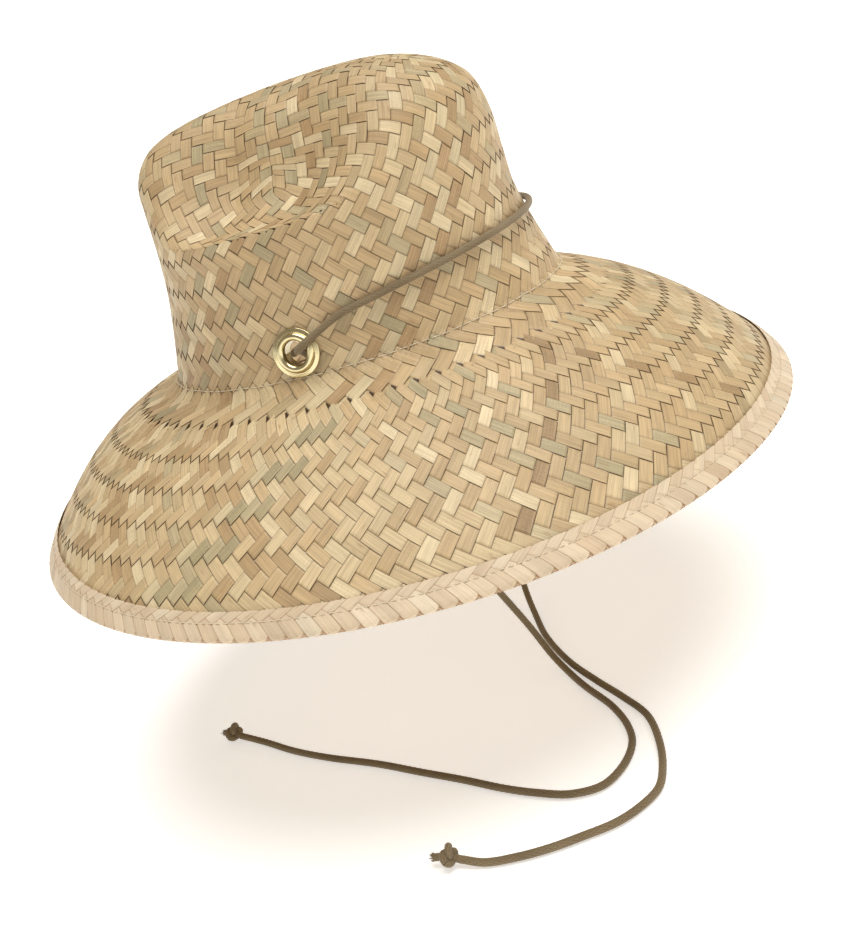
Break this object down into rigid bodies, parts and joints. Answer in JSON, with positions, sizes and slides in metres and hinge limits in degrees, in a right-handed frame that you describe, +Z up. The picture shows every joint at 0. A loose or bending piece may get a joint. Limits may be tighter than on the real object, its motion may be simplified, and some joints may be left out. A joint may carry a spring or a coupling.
{
  "type": "straw sun hat",
  "caption": "Woven palm sun hat: tall crown dented at both sides, round down-turned brim with a folded braid edge, brass grommets and a knotted chin cord.",
  "frame": {"origin": "centre of the head opening, in the plane of the seam line between crown and brim", "axes": "+Z up through the crown, -Y towards the front of the hat, +X towards the wearer's left"},
  "size_m": [0.3978, 0.3892, 0.3161],
  "materials": {
    "straw": "woven dried palm strips, warm tan with olive and cream strips, satin",
    "binding": "pale braided palm, folded and machine stitched",
    "wire": "thin springy steel wire, hidden",
    "band": "woven cotton sweatband",
    "brass": "polished pale brass",
    "cord": "braided khaki cord, matte"
  },
  "bodies": {
    "root": {"crown": "straw", "brim": "straw", "edge_braid": "binding", "brim_wire": "wire", "sweatband": "band", "grommet_right_eyelet": "brass", "grommet_right_washer": "brass", "grommet_left_eyelet": "brass", "grommet_left_washer": "brass", "chin_cord_band": "cord", "chin_cord_right_end": "cord", "chin_cord_left_end": "cord", "chin_cord_right_knot": "cord", "chin_cord_left_knot": "cord"}
  },
  "joints": []
}
